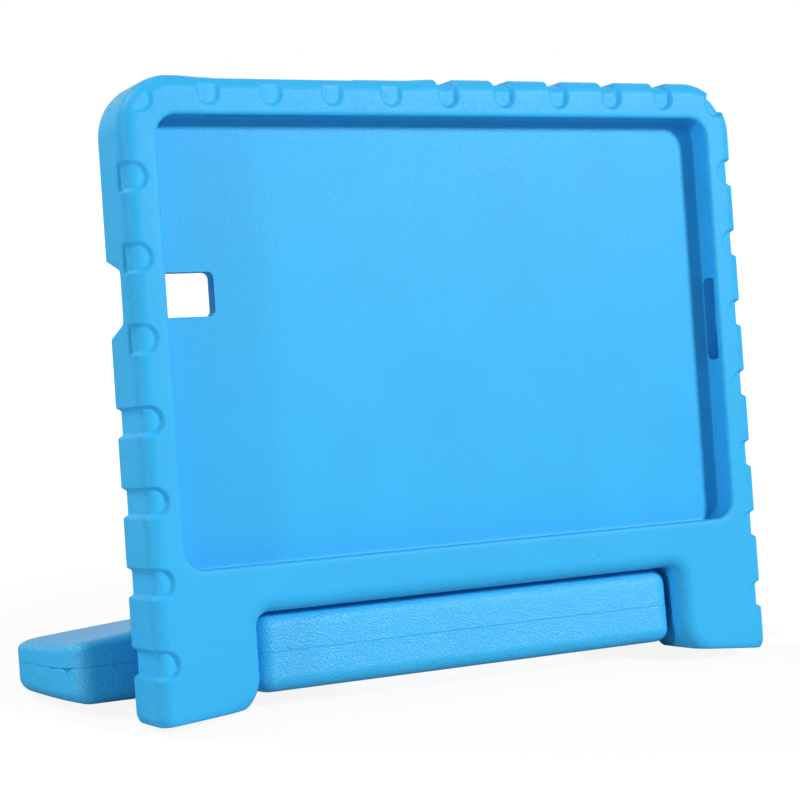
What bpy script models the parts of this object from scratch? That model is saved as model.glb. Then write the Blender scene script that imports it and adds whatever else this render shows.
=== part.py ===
# Foam case for a handheld device, with a handle that turns behind it and props it up.
# Lengths are millimetres in the case's own frame: x to the right, y to the back, z up the case.
# Each mesh is scaled to metres, and one empty leans the whole case back on its feet.

import math

import bmesh
import bpy
from mathutils import Matrix, Vector

MM = 0.001

# Placing in the world
LEAN = math.radians(8.9)
ORIGIN_Y = -23.94
ORIGIN_Z = 140.08

# Pocket and its lip
POCKET_HALF_X = 121.55
POCKET_HALF_Z = 83.7
POCKET_R = 9.0
POCKET_FLOOR_Y = 8.0
LIP = 1.0
LIP_THICKNESS = 2.6
LIP_CHAMFER = 1.3

# Depth of the case
FRONT_Y = -3.0
BODY_BEHIND = 19.0
BACK_Y = POCKET_FLOOR_Y + BODY_BEHIND
EDGE_R = 6.0

# Outline of the case, from the front
SIDE_RIM = 12.65
TOP_RIM = 14.1
BOTTOM_BAR = 16.95
HALF_WIDTH = POCKET_HALF_X + SIDE_RIM
TOP_Z = POCKET_HALF_Z + TOP_RIM
CEILING_Z = -POCKET_HALF_Z - BOTTOM_BAR
FOOT_W = 41.2
FOOT_INNER_X = HALF_WIDTH - FOOT_W
FOOT_DROP = 37.55
SOLE_Z = CEILING_Z - FOOT_DROP
SOLE_RISE = 3.7
SOLE_CUT = 3.0
TOP_CORNER_R = 21.0
FOOT_OUTER_R = 7.0
FOOT_INNER_R = 16.0
NOTCH_CORNER_R = 5.0

# Sunk part of the top's left half, where the buttons are
SAG_DEPTH = 0.6
SAG_INSET = 24.2
SAG_LEFT_X = -HALF_WIDTH + SAG_INSET
SAG_RIGHT_X = -6.0
SAG_RUN = 10.0
SAG_R = 24.0

# Recess behind the floor of the pocket
RECESS_INSET_X = 2.0
RECESS_INSET_Z = 0.7
RECESS_HALF_X = POCKET_HALF_X - RECESS_INSET_X
RECESS_HALF_Z = POCKET_HALF_Z - RECESS_INSET_Z
RECESS_R = 12.0
FLOOR_THICKNESS = 6.0
RECESS_FLOOR_Y = POCKET_FLOOR_Y + FLOOR_THICKNESS

# Openings to the device
LENS_WINDOW_Z = (9.6, 26.0)
LENS_WINDOW_W = 23.5
LENS_WINDOW_UNDER = 3.5
LENS_WINDOW_X = (-POCKET_HALF_X - LENS_WINDOW_UNDER, LENS_WINDOW_W - POCKET_HALF_X)
LENS_NOTCH_STEP = 1.0
LENS_NOTCH_Y = POCKET_FLOOR_Y + LENS_NOTCH_STEP
LENS_NOTCH_Z = (8.6, 26.9)
LENS_NOTCH_FLARE = 6.0
LENS_NOTCH_R = 2.5
LENS_R = 2.5
PORT_Z = (-17.0, 17.0)
PORT_MARGIN = 0.2
PORT_Y = (PORT_MARGIN, POCKET_FLOOR_Y - PORT_MARGIN)
PORT_R = 2.5
BUTTON_INSET = 12.0
BUTTON_LENGTH = 60.0
BUTTON_LEFT_X = SAG_LEFT_X + BUTTON_INSET
BUTTON_X = (BUTTON_LEFT_X, BUTTON_LEFT_X + BUTTON_LENGTH)

# Channels over the edges
CHANNEL_DEPTH = 1.8
SIDE_CHANNELS = 7
SIDE_CHANNEL_DROP = 37.5
SIDE_CHANNEL_RISE = 22.7
SIDE_CHANNEL_FIRST_Z = TOP_Z - SIDE_CHANNEL_DROP
SIDE_CHANNEL_LAST_Z = SOLE_Z + SIDE_CHANNEL_RISE
SIDE_CHANNEL_PITCH = (SIDE_CHANNEL_FIRST_Z - SIDE_CHANNEL_LAST_Z) / (SIDE_CHANNELS - 1)
SIDE_CHANNEL_W = 10.5
SIDE_CHANNEL_LENGTH = 9.0
SIDE_CHANNEL_END = HALF_WIDTH - SIDE_CHANNEL_LENGTH
TOP_CHANNELS = 9
TOP_CHANNEL_LEFT_IN = 34.6
TOP_CHANNEL_RIGHT_IN = 33.8
TOP_CHANNEL_FIRST_X = -HALF_WIDTH + TOP_CHANNEL_LEFT_IN
TOP_CHANNEL_LAST_X = HALF_WIDTH - TOP_CHANNEL_RIGHT_IN
TOP_CHANNEL_PITCH = (TOP_CHANNEL_LAST_X - TOP_CHANNEL_FIRST_X) / (TOP_CHANNELS - 1)
TOP_CHANNEL_W = 8.3
TOP_CHANNEL_LENGTH = 11.6
TOP_CHANNEL_END = TOP_Z - TOP_CHANNEL_LENGTH
CORNER_CHANNEL_ANGLE = math.radians(41.5)
CORNER_CHANNEL_W = 10.0
CORNER_CHANNEL_LENGTH = 8.4
CORNER_CHANNEL_END = TOP_CORNER_R - CORNER_CHANNEL_LENGTH
CHANNEL_REACH = 12.0
FLAT_SIDE_CHANNELS = 3
FLAT_TOP_CHANNELS = 4

# Handle, in plan: x across, d behind the pivot
HUB_GAP_X = 0.7
HUB_HALF_X = FOOT_INNER_X - HUB_GAP_X
HUB_HALF_T = 15.0
HUB_CLEARANCE = 0.64
HUB_FRONT_D = -7.5
HUB_CORNER_R = 7.0
SHOULDER_D = 27.0
SHOULDER_OUT = 18.8
SHOULDER_X = HALF_WIDTH + SHOULDER_OUT
SHOULDER_R = 10.0
NECK_R = 4.0
WING_OUT = 29.2
WING_X = HALF_WIDTH + WING_OUT
REAR_D = 78.1
REAR_RISE = 3.2
WING_D = REAR_D - REAR_RISE
WING_R = 11.0
REAR_INSET = 84.0
REAR_X = WING_X - REAR_INSET
REAR_R = 60.0
REAR_HALF_T = 9.4
TAPER_D = 25.0
GRIP_D = 30.0
SLOT_INSET = 29.0
SLOT_HALF_X = HUB_HALF_X - SLOT_INSET
SLOT_FRONT_D = 21.0
SLOT_BACK_D = REAR_D - GRIP_D
SLOT_ROUNDNESS = 0.45
SLOT_R = (SLOT_BACK_D - SLOT_FRONT_D) * SLOT_ROUNDNESS
SEAM_HALF_W = 0.45
SEAM_DEPTH = 0.6

# Pivot
HANDLE_TILT = math.radians(1.86)
PIVOT_Y = (FRONT_Y + BACK_Y) / 2
PIVOT_Z = CEILING_Z - HUB_HALF_T - HUB_CLEARANCE
PIN_R = 4.0
PIN_FOOT_GAP = 0.05
PIN_HUB_GAP = 0.08
PIN_IN_HUB = 28.0
PIN_IN_FOOT = 22.0
PIN_INNER_X = HUB_HALF_X - PIN_IN_HUB
PIN_OUTER_X = FOOT_INNER_X + PIN_IN_FOOT
PIN_END_GAP = 0.5
PIN_CHAMFER = 0.8

ARC_STEP = math.radians(18.0)
EDGE_STEPS = 3
PIN_STEPS = 32
WELD = 1e-5
SIDEWAYS = Matrix(((0, 0, 1, 0), (1, 0, 0, 0), (0, 1, 0, 0), (0, 0, 0, 1)))
CUT_OVERLAP = 0.05
OVERSHOOT = 12.0


def rounded(corners, step=ARC_STEP):
    """The points of a closed outline, where each corner (x, y, radius) becomes an arc."""
    points = []
    count = len(corners)
    for i, (x, y, radius) in enumerate(corners):
        here = Vector((x, y))
        to_last = (Vector(corners[i - 1][:2]) - here).normalized()
        to_next = (Vector(corners[(i + 1) % count][:2]) - here).normalized()
        inner = to_last.angle(to_next)
        centre = here + (to_last + to_next).normalized() * (radius / math.sin(inner / 2))
        reach = radius / math.tan(inner / 2)
        start = here + to_last * reach - centre
        turn = math.pi - inner
        if to_last.cross(to_next) > 0:
            turn = -turn
        steps = max(2, math.ceil(abs(turn) / step))
        for k in range(steps + 1):
            points.append(centre + Matrix.Rotation(turn * k / steps, 2) @ start)
    return points


def rectangle(x_range, y_range, radius):
    (x0, x1), (y0, y1) = x_range, y_range
    return rounded([(x0, y0, radius), (x1, y0, radius), (x1, y1, radius), (x0, y1, radius)])


def slab(name, loops, half, edge=0.0, grow=0.0, steps=EDGE_STEPS):
    """A plate of the closed loops, 2 x half thick about z = 0, its edges rounded by edge."""
    curve = bpy.data.curves.new(name, "CURVE")
    curve.dimensions = "2D"
    curve.fill_mode = "BOTH"
    curve.extrude = half - edge
    curve.bevel_depth = edge
    curve.bevel_resolution = steps
    curve.offset = grow - edge
    for loop in loops:
        spline = curve.splines.new("POLY")
        spline.points.add(len(loop) - 1)
        for point, place in zip(spline.points, loop):
            point.co = (place[0], place[1], 0.0, 1.0)
        spline.use_cyclic_u = True
    guide = bpy.data.objects.new(name, curve)
    mesh = bpy.data.meshes.new_from_object(guide)
    bpy.data.objects.remove(guide)
    work = bmesh.new()
    work.from_mesh(mesh)
    bmesh.ops.remove_doubles(work, verts=work.verts, dist=WELD)
    bmesh.ops.recalc_face_normals(work, faces=work.faces)
    work.to_mesh(mesh)
    work.free()
    return mesh


def upright(mesh, mid_y):
    """Stands a plate up, so that its outline faces the front."""
    mesh.transform(Matrix.Translation((0, mid_y, 0)) @ Matrix.Rotation(math.pi / 2, 4, "X"))
    return mesh


def sideways(mesh, mid_x):
    """Turns a plate so that its outline's x and y become the case's y and z."""
    mesh.transform(Matrix.Translation((mid_x, 0, 0)) @ SIDEWAYS)
    return mesh


def wall_plate(name, loops, y_range, **options):
    half = (y_range[1] - y_range[0]) / 2
    return upright(slab(name, loops, half, **options), sum(y_range) / 2)


def merged(name, meshes):
    work = bmesh.new()
    for mesh in meshes:
        work.from_mesh(mesh)
    joined = bpy.data.meshes.new(name)
    work.to_mesh(joined)
    work.free()
    return joined


def cylinder(name, radius, x_range, y, z):
    """A round bar along x."""
    work = bmesh.new()
    length = x_range[1] - x_range[0]
    bmesh.ops.create_cone(
        work, cap_ends=True, segments=PIN_STEPS, radius1=radius, radius2=radius, depth=length
    )
    mesh = bpy.data.meshes.new(name)
    work.to_mesh(mesh)
    work.free()
    turn = Matrix.Rotation(math.pi / 2, 4, "Y")
    mesh.transform(Matrix.Translation((sum(x_range) / 2, y, z)) @ turn)
    return mesh


def material(name, colour, roughness):
    made = bpy.data.materials.new(name)
    made.use_nodes = True
    shader = made.node_tree.nodes["Principled BSDF"]
    shader.inputs["Base Color"].default_value = (*colour, 1.0)
    shader.inputs["Roughness"].default_value = roughness
    return made


def add(name, mesh, collection, parent, shade=None):
    mesh.transform(Matrix.Scale(MM, 4))
    made = bpy.data.objects.new(name, mesh)
    collection.objects.link(made)
    made.parent = parent
    if shade:
        mesh.materials.clear()
        mesh.materials.append(shade)
    else:
        made.hide_render = True
        made.display_type = "WIRE"
    return made


def cut(target):
    """A new collection of cutters, all of which are taken from target in one Boolean."""
    group = bpy.data.collections.new("cut from " + target.name)
    cutters.children.link(group)
    step = target.modifiers.new(group.name, "BOOLEAN")
    step.operation = "DIFFERENCE"
    step.solver = "EXACT"
    step.operand_type = "COLLECTION"
    step.collection = group
    return group


def case_outline(sag):
    sole = SOLE_Z - SOLE_CUT
    low = sole + SOLE_RISE
    right = [
        (-FOOT_INNER_X, CEILING_Z, NOTCH_CORNER_R),
        (FOOT_INNER_X, CEILING_Z, NOTCH_CORNER_R),
        (FOOT_INNER_X, low, FOOT_INNER_R),
        (HALF_WIDTH, sole, FOOT_OUTER_R),
        (HALF_WIDTH, TOP_Z, TOP_CORNER_R),
    ]
    top = [
        (SAG_RIGHT_X, TOP_Z, SAG_R),
        (SAG_RIGHT_X - SAG_RUN, TOP_Z - SAG_DEPTH, SAG_R),
        (SAG_LEFT_X + SAG_RUN, TOP_Z - SAG_DEPTH, SAG_R),
        (SAG_LEFT_X, TOP_Z, SAG_R),
    ]
    left = [
        (-HALF_WIDTH, TOP_Z, TOP_CORNER_R),
        (-HALF_WIDTH, sole, FOOT_OUTER_R),
        (-FOOT_INNER_X, low, FOOT_INNER_R),
    ]
    return rounded(right + (top if sag else []) + left)


def sole_mesh(name, side):
    """What the flat sole cuts off under one foot. The sole rises towards the middle."""
    slope = SOLE_RISE / FOOT_W
    loop = []
    for out, drop in ((-OVERSHOOT, 1), (FOOT_W + OVERSHOOT, 1), (FOOT_W + OVERSHOOT, 0), (-OVERSHOOT, 0)):
        z = SOLE_Z + slope * out - drop * OVERSHOOT
        loop.append((side * (HALF_WIDTH - out), z))
    return wall_plate(name, [loop], (FRONT_Y - OVERSHOOT, BACK_Y + OVERSHOOT))


def channel(middle, direction, width, end, reach):
    """A D-shaped outline whose round end lies at end along direction, open towards reach."""
    along = Vector(direction).normalized()
    across = Vector((-along.y, along.x))
    half = width / 2
    start = Vector(middle) + along * (end + half)
    points = [Vector(middle) + along * reach - across * half]
    points.append(Vector(middle) + along * reach + across * half)
    steps = math.ceil(math.pi / ARC_STEP)
    for k in range(steps + 1):
        turn = math.pi * k / steps
        points.append(start + across * (half * math.cos(turn)) - along * (half * math.sin(turn)))
    return points


def side_channel(side, number):
    z = SIDE_CHANNEL_FIRST_Z - number * SIDE_CHANNEL_PITCH
    reach = HALF_WIDTH + CHANNEL_REACH
    return channel((0, z), (side, 0), SIDE_CHANNEL_W, SIDE_CHANNEL_END, reach)


def top_channel(number):
    x = TOP_CHANNEL_FIRST_X + number * TOP_CHANNEL_PITCH
    reach = TOP_Z + CHANNEL_REACH
    return channel((x, 0), (0, 1), TOP_CHANNEL_W, TOP_CHANNEL_END, reach)


def corner_channel(side):
    middle = (side * (HALF_WIDTH - TOP_CORNER_R), TOP_Z - TOP_CORNER_R)
    along = (side * math.cos(CORNER_CHANNEL_ANGLE), math.sin(CORNER_CHANNEL_ANGLE))
    reach = TOP_CORNER_R + CHANNEL_REACH
    return channel(middle, along, CORNER_CHANNEL_W, CORNER_CHANNEL_END, reach)


def channel_outlines():
    """The flat ones, sunk from the front only, and those that go on round the edge."""
    left = [side_channel(-1, number) for number in range(SIDE_CHANNELS)]
    right = [side_channel(1, number) for number in range(SIDE_CHANNELS)]
    top = [top_channel(number) for number in range(TOP_CHANNELS)]
    flat = left[:FLAT_SIDE_CHANNELS] + top[:FLAT_TOP_CHANNELS] + [corner_channel(-1)]
    round_edge = left[FLAT_SIDE_CHANNELS:] + top[FLAT_TOP_CHANNELS:] + right
    return flat, round_edge + [corner_channel(1)]


def handle_outline():
    half = [
        (HUB_HALF_X, HUB_FRONT_D, HUB_CORNER_R),
        (HUB_HALF_X, SHOULDER_D, NECK_R),
        (SHOULDER_X, SHOULDER_D, SHOULDER_R),
        (WING_X, WING_D, WING_R),
        (REAR_X, REAR_D, REAR_R),
    ]
    return rounded(half + [(-x, d, radius) for x, d, radius in reversed(half)])


def half_thickness(d):
    """How thick the handle is on each side of its seam, at d behind the pivot."""
    if d <= TAPER_D:
        return HUB_HALF_T
    return HUB_HALF_T + (REAR_HALF_T - HUB_HALF_T) * (d - TAPER_D) / (REAR_D - TAPER_D)


def handle_mesh():
    slot = rectangle((-SLOT_HALF_X, SLOT_HALF_X), (SLOT_FRONT_D, SLOT_BACK_D), SLOT_R)
    mesh = slab("handle", [handle_outline(), slot], HUB_HALF_T, EDGE_R)
    work = bmesh.new()
    work.from_mesh(mesh)
    everything = work.verts[:] + work.edges[:] + work.faces[:]
    bmesh.ops.bisect_plane(work, geom=everything, plane_co=(0, TAPER_D, 0), plane_no=(0, 1, 0))
    for vert in work.verts:
        vert.co.z *= half_thickness(vert.co.y) / HUB_HALF_T
    work.to_mesh(mesh)
    work.free()
    return mesh


def lens_notch_mesh():
    """The cut in the left side, seen along x, wider at the back than inside."""
    z0, z1 = LENS_NOTCH_Z
    back = BACK_Y + OVERSHOOT
    flare = LENS_NOTCH_FLARE * (back - LENS_NOTCH_Y) / (BACK_Y - LENS_NOTCH_Y)
    outline = rounded([
        (LENS_NOTCH_Y, z0, LENS_NOTCH_R),
        (back, z0 - flare, LENS_NOTCH_R),
        (back, z1 + flare, LENS_NOTCH_R),
        (LENS_NOTCH_Y, z1, LENS_NOTCH_R),
    ])
    half = (HALF_WIDTH + OVERSHOOT - RECESS_HALF_X + CUT_OVERLAP) / 2 + LENS_NOTCH_R
    return sideways(slab("lens_notch_cut", [outline], half), half - HALF_WIDTH - OVERSHOOT)


def seam_ring():
    """A thin ring that cuts the parting line into the handle's outer edge."""
    reach_x = WING_X + CHANNEL_REACH
    reach_d = (HUB_FRONT_D - CHANNEL_REACH, REAR_D + CHANNEL_REACH)
    outer = slab("seam outer", [rectangle((-reach_x, reach_x), reach_d, EDGE_R)], SEAM_HALF_W)
    inner = slab("seam inner", [handle_outline()], 2 * SEAM_HALF_W, grow=-SEAM_DEPTH)
    return outer, inner


def pin_mesh(name, side):
    inner, outer = sorted((side * PIN_INNER_X, side * PIN_OUTER_X))
    mesh = cylinder(name, PIN_R, (inner, outer), PIVOT_Y, PIVOT_Z)
    work = bmesh.new()
    work.from_mesh(mesh)
    rims = [edge for edge in work.edges if any(len(face.verts) > 4 for face in edge.link_faces)]
    bmesh.ops.bevel(
        work, geom=rims, offset=PIN_CHAMFER, segments=1, profile=0.5, affect="EDGES",
        clamp_overlap=True,
    )
    work.to_mesh(mesh)
    work.free()
    return mesh


for thing in list(bpy.data.objects):
    bpy.data.objects.remove(thing)

scene = bpy.context.scene.collection
parts = bpy.data.collections.new("handle_stand_case")
cutters = bpy.data.collections.new("cutters")
cutters.hide_render = True
for group in (parts, cutters):
    scene.children.link(group)

lean = bpy.data.objects.new("lean", None)
parts.objects.link(lean)
lean.rotation_euler.x = -LEAN
lean.location = (0, ORIGIN_Y * MM, ORIGIN_Z * MM)

foam = material("blue foam", (0.063, 0.48, 0.93), 0.62)
handle_foam = material("blue foam of the handle", (0.055, 0.43, 0.87), 0.6)
pin_plastic = material("grey plastic", (0.22, 0.24, 0.27), 0.4)

# Case
shell = add(
    "case_shell",
    wall_plate("case_shell", [case_outline(True)], (FRONT_Y, BACK_Y), edge=EDGE_R),
    parts, lean, foam,
)

opening_back = FRONT_Y + LIP_THICKNESS + LIP
opening_x = POCKET_HALF_X - LIP
opening_z = POCKET_HALF_Z - LIP
opening = rectangle((-opening_x, opening_x), (-opening_z, opening_z), POCKET_R - LIP)
pocket = rectangle(
    (-POCKET_HALF_X, POCKET_HALF_X), (-POCKET_HALF_Z, POCKET_HALF_Z), POCKET_R
)
recess = rectangle((-RECESS_HALF_X, RECESS_HALF_X), (-RECESS_HALF_Z, RECESS_HALF_Z), RECESS_R)
lens_window = rectangle(LENS_WINDOW_X, LENS_WINDOW_Z, LENS_R)

from_shell = cut(shell)
chamfer_back = FRONT_Y + LIP_CHAMFER
window_range = (POCKET_FLOOR_Y - FLOOR_THICKNESS, RECESS_FLOOR_Y + FLOOR_THICKNESS)
shell_cuts = (
    ("pocket_cut", wall_plate("pocket_cut", [pocket], (FRONT_Y + LIP_THICKNESS, POCKET_FLOOR_Y))),
    ("opening_cut", wall_plate("opening_cut", [opening], (FRONT_Y - OVERSHOOT, opening_back))),
    (
        "opening_chamfer_cut",
        wall_plate(
            "opening_chamfer_cut", [opening], (chamfer_back - OVERSHOOT, chamfer_back),
            edge=LIP_CHAMFER, grow=LIP_CHAMFER - CUT_OVERLAP, steps=0,
        ),
    ),
    ("recess_cut", wall_plate("recess_cut", [recess], (RECESS_FLOOR_Y, BACK_Y + OVERSHOOT))),
    ("lens_window_cut", wall_plate("lens_window_cut", [lens_window], window_range)),
    ("lens_notch_cut", lens_notch_mesh()),
)
for name, mesh in shell_cuts:
    add(name, mesh, from_shell, lean)

port_mesh = slab("port_cut", [rectangle(PORT_Y, PORT_Z, PORT_R)], SIDE_RIM + LIP)
sideways(port_mesh, HALF_WIDTH)
add("port_cut", port_mesh, from_shell, lean)
button_mesh = slab("button_cut", [rectangle(BUTTON_X, PORT_Y, PORT_R)], TOP_RIM + LIP)
button_mesh.transform(Matrix.Translation((0, 0, TOP_Z)))
add("button_cut", button_mesh, from_shell, lean)

# The flat channels stop at one depth. The others keep an even depth round the edge,
# because their cutter ends at a smaller copy of the case.
flat_loops, round_loops = channel_outlines()
flat_range = (FRONT_Y - OVERSHOOT, FRONT_Y + CHANNEL_DEPTH)
flat_meshes = [wall_plate("flat", [loop], flat_range) for loop in flat_loops]
add("flat_channel_cut", merged("flat_channel_cut", flat_meshes), from_shell, lean)

round_range = (FRONT_Y - OVERSHOOT, BACK_Y + OVERSHOOT)
round_meshes = [wall_plate("round", [loop], round_range) for loop in round_loops]
channels = add("channel_cut", merged("channel_cut", round_meshes), from_shell, lean)
core_range = (FRONT_Y + CHANNEL_DEPTH, BACK_Y - CHANNEL_DEPTH)
core = wall_plate(
    "channel_core", [case_outline(False)], core_range,
    edge=EDGE_R - CHANNEL_DEPTH / 2, grow=-CHANNEL_DEPTH,
)
add("channel_core", core, cut(channels), lean)

for side, name in ((-1, "left"), (1, "right")):
    reach = sorted((side * (FOOT_INNER_X - OVERSHOOT), side * (PIN_OUTER_X + PIN_END_GAP)))
    bore = cylinder("bore", PIN_R + PIN_FOOT_GAP, reach, PIVOT_Y, PIVOT_Z)
    add("foot_bore_cut_" + name, bore, from_shell, lean)
    add("sole_cut_" + name, sole_mesh("sole_cut_" + name, side), from_shell, lean)

# Handle, on an empty that lies on its pivot
hinge = bpy.data.objects.new("handle_hinge", None)
parts.objects.link(hinge)
hinge.parent = lean
hinge.location = (0, PIVOT_Y * MM, PIVOT_Z * MM)
hinge.rotation_euler.x = -HANDLE_TILT
handle = add("handle", handle_mesh(), parts, hinge, handle_foam)
ring, ring_core = seam_ring()
from_handle = cut(handle)
seam = add("seam_cut", ring, from_handle, hinge)
add("seam_core", ring_core, cut(seam), hinge)
for side, name in ((-1, "left"), (1, "right")):
    reach = sorted((side * (PIN_INNER_X - PIN_END_GAP), side * (HUB_HALF_X + OVERSHOOT)))
    bore = cylinder("bore", PIN_R + PIN_HUB_GAP, reach, 0, 0)
    add("hub_bore_cut_" + name, bore, from_handle, hinge)
    pin = pin_mesh("pivot_pin_" + name, side)
    add("pivot_pin_" + name, pin, parts, lean, pin_plastic)
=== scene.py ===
import math

import bmesh
import bpy
import numpy as np
from mathutils import Matrix, Vector
from mathutils.geometry import delaunay_2d_cdt


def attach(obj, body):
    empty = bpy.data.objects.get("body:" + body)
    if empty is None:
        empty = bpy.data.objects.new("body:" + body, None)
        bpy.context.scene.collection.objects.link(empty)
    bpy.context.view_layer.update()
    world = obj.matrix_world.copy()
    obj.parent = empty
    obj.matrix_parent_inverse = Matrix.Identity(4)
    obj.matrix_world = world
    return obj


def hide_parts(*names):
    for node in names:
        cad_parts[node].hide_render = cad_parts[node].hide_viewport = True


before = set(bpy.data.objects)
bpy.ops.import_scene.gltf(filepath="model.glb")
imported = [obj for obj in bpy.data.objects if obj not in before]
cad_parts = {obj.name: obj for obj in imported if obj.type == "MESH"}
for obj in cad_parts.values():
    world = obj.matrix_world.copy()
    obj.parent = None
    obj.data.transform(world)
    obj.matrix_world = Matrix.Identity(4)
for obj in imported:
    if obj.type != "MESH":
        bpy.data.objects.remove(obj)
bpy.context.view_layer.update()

# Lengths are millimetres in the case's own frame, as in the part's source:
# x to the right, y to the back, z up the case. to_world() leans it back and makes metres.
MM = 0.001
LEAN = math.radians(8.9)
ORIGIN_Y = -23.94
ORIGIN_Z = 140.08

# Case
POCKET_HALF_X = 121.55
POCKET_HALF_Z = 83.7
POCKET_R = 9.0
POCKET_FLOOR_Y = 8.0
LIP = 1.0
LIP_BACK_Y = -0.4
LIP_ROUND = 1.3
FRONT_Y = -3.0
BACK_Y = 27.0
EDGE_R = 6.0
HALF_WIDTH = 134.2
TOP_Z = 97.8
CEILING_Z = -100.65
FOOT_INNER_X = 93.0
SOLE_Z = -138.2
SOLE_RISE = 3.7
SOLE_CUT = 3.0
SOLE_SOFT = 0.5
RECESS_HALF_X = 119.55
RECESS_HALF_Z = 83.0
RECESS_R = 12.0
RECESS_FLOOR_Y = 14.0
RECESS_ROUND = 1.6
TOP_CORNER_R = 21.0
SOLE_CORNER_R = 7.0
FOOT_INNER_R = 16.0
CEILING_R = 5.0

# The shallow sag in the left half of the top
SAG_DEPTH = 0.6
SAG_X = (-110.0, -100.0, -16.0, -6.0)
SAG_R = 24.0

# Windows, as (low, high, low, high, corner radius), and the lens notch's corners (y, z)
LENS_WINDOW = (-125.05, -98.05, 9.6, 26.15, 2.5)
PORT_WINDOW = (0.2, 7.8, -17.0, 17.0, 2.5)
BUTTON_WINDOW = (-98.13, -38.07, 0.2, 7.8, 2.5)
BUTTON_MOUTH_Z = TOP_Z - 0.55
LENS_NOTCH = [(9.0, 8.6), (39.0, -1.4), (39.0, 36.9), (9.0, 26.9)]
NOTCH_R = 2.5
NOTCH_REACH = 2.45
NOTCH_MOUTH_R = 1.6

# Channels: their depths and walls, then the rows along the sides, along the top and at the corners
CHANNEL_DEPTH = 1.8
CHANNEL_WALL_OUT = 0.4
CHANNEL_WALL_IN = 0.9
FLAT_DEPTH = 1.3
SHALLOW_DEPTH = 0.9
FLAT_END_Y = (3.1, 3.9)
SIDE_CHANNEL_DROP = 37.5
SIDE_CHANNEL_PITCH = 29.3
SIDE_CHANNEL_W = 10.5
SIDE_CHANNEL_IN = 9.0
TOP_CHANNEL_X = -99.6
TOP_CHANNEL_PITCH = 25.0
TOP_CHANNEL_W = 8.3
TOP_CHANNEL_END = 86.2
CORNER_CHANNEL_ANGLE = math.radians(41.5)
CORNER_CHANNEL_W = 10.0
CORNER_CHANNEL_END = 12.6

# Handle: x is across, d is how far behind the pivot, t is the height over its middle plane
PIVOT_Y = 12.0
PIVOT_Z = -116.29
HANDLE_TILT = math.radians(1.86)
HUB_HALF_X = 92.3
HUB_FRONT_D = -7.5
HUB_R = 7.0
NECK_R = 4.0
SHOULDER_X = 149.0
SHOULDER_D = 27.0
SHOULDER_R = 8.0
WING_X = 165.0
WING_D = 74.9
WING_R = 11.0
REAR_X = 79.4
REAR_D = 78.1
REAR_R = 60.0
SLOT_HALF_X = 63.3
SLOT_D = (21.0, 48.1)
SLOT_R = 12.2
HUB_HALF_T = 15.0
REAR_HALF_T = 9.4
TAPER_D = 25.0
TAPER_SOFT = 0.0004
WING_SINK = 6.2
WING_RUN = 60.0
WING_SOFT = 0.004
SEAM_RISE = 2.6
SEAM_RISE_D = 38.0
SEAM_RISE_RUN = 30.0
SEAM_HALF_W = 0.32
SEAM_DEPTH = 0.32

# Wear, as places on the surface: (x, y, z), radius, depth of a pit, and the darkness of the painted
# shade put into it
PITS = [
    ((-79.5, 4.5, -115.1), 0.7, 0.3, 0.7),
    ((-78.6, 4.5, -115.9), 0.6, 0.25, 0.5),
    ((54.0, -3.0, -93.0), 1.3, 0.15, 0.2),
    ((50.2, -3.0, -94.6), 1.0, 0.08, 0.08),
    ((-131.7, 14.5, 86.8), 0.9, 0.45, 0.8),
    ((-127.8, 14.0, 91.9), 0.8, 0.4, 0.7),
    ((-126.4, 14.2, 93.0), 0.7, 0.35, 0.6),
]
# Nicks under the handle's seam: (first d, tip d, last d, drop of the tip, depth)
NICKS = [(31.9, 35.7, 38.9, 2.3, 0.7), (41.7, 43.4, 45.8, 1.2, 0.35)]

# Bores for the pins: radius, inner and outer end
FOOT_BORE = (4.05, 88.0, 115.5)
HUB_BORE = (4.08, 63.8, 100.0)

# Spacings of the mesh's points
WEAR_STEP = 0.3
FINE = 0.6
OUTLINE_STEP = 0.9
WINDOW_STEP = 1.0
MEDIUM = 1.6
HANDLE_STEP = 3.0
COARSE = 4.0
FLOOR_STEP = 12.0
CAP_MARGIN = 0.4
CAP_CLEARANCE = 0.42
MOST_TURN = math.radians(7.5)
SHARP_ANGLE = math.radians(48.0)

# Rows of the skins, finer where the channels end and round the seam
SIDE_ROWS_Y = (
    3.3, 3.5, 3.7, 3.9, 6.0, 9.0, 12.0, 13.3, 13.6, 13.9, 14.2, 14.5, 14.8, 15.1, 17.0, 19.0,
)
POCKET_ROWS_Y = (2.0, 5.0, POCKET_FLOOR_Y - 0.6)
RECESS_ROWS_Y = (22.0, 18.0, RECESS_FLOOR_Y + 1.0)
POCKET_FOOT = ((0.18, 0.18), (0.6, 0.0), (1.6, 0.0), (4.0, 0.0))
RECESS_FOOT = ((0.3, 0.3), (1.0, 0.0), (2.2, 0.0), (5.0, 0.0))
# The seam's groove, as (share of its depth, share of its width), and the rows next to it
ABOVE_SEAM = (7.0, 5.0, 3.4, 2.4, 2.0, 1.65, 1.35, 1.05, 0.75)
SEAM_ROWS = (
    (0.0, SEAM_HALF_W), (0.45, 0.35), (0.85, 0.15), (1.0, 0.0), (0.85, -0.15), (0.45, -0.35),
    (0.0, -SEAM_HALF_W),
)
BELOW_SEAM = (0.6, 0.85, 1.1, 1.35, 1.6, 1.85, 2.1, 2.35, 2.6, 3.0, 3.6, 5.0, 7.0)


def to_world(points):
    points = np.asarray(points, float)
    c, s = math.cos(LEAN), math.sin(LEAN)
    x, y, z = points[:, 0], points[:, 1], points[:, 2]
    return np.column_stack((x, y * c + z * s + ORIGIN_Y, -y * s + z * c + ORIGIN_Z)) * MM


def smooth(t):
    t = np.clip(t, 0.0, 1.0)
    return t * t * (3.0 - 2.0 * t)


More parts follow.
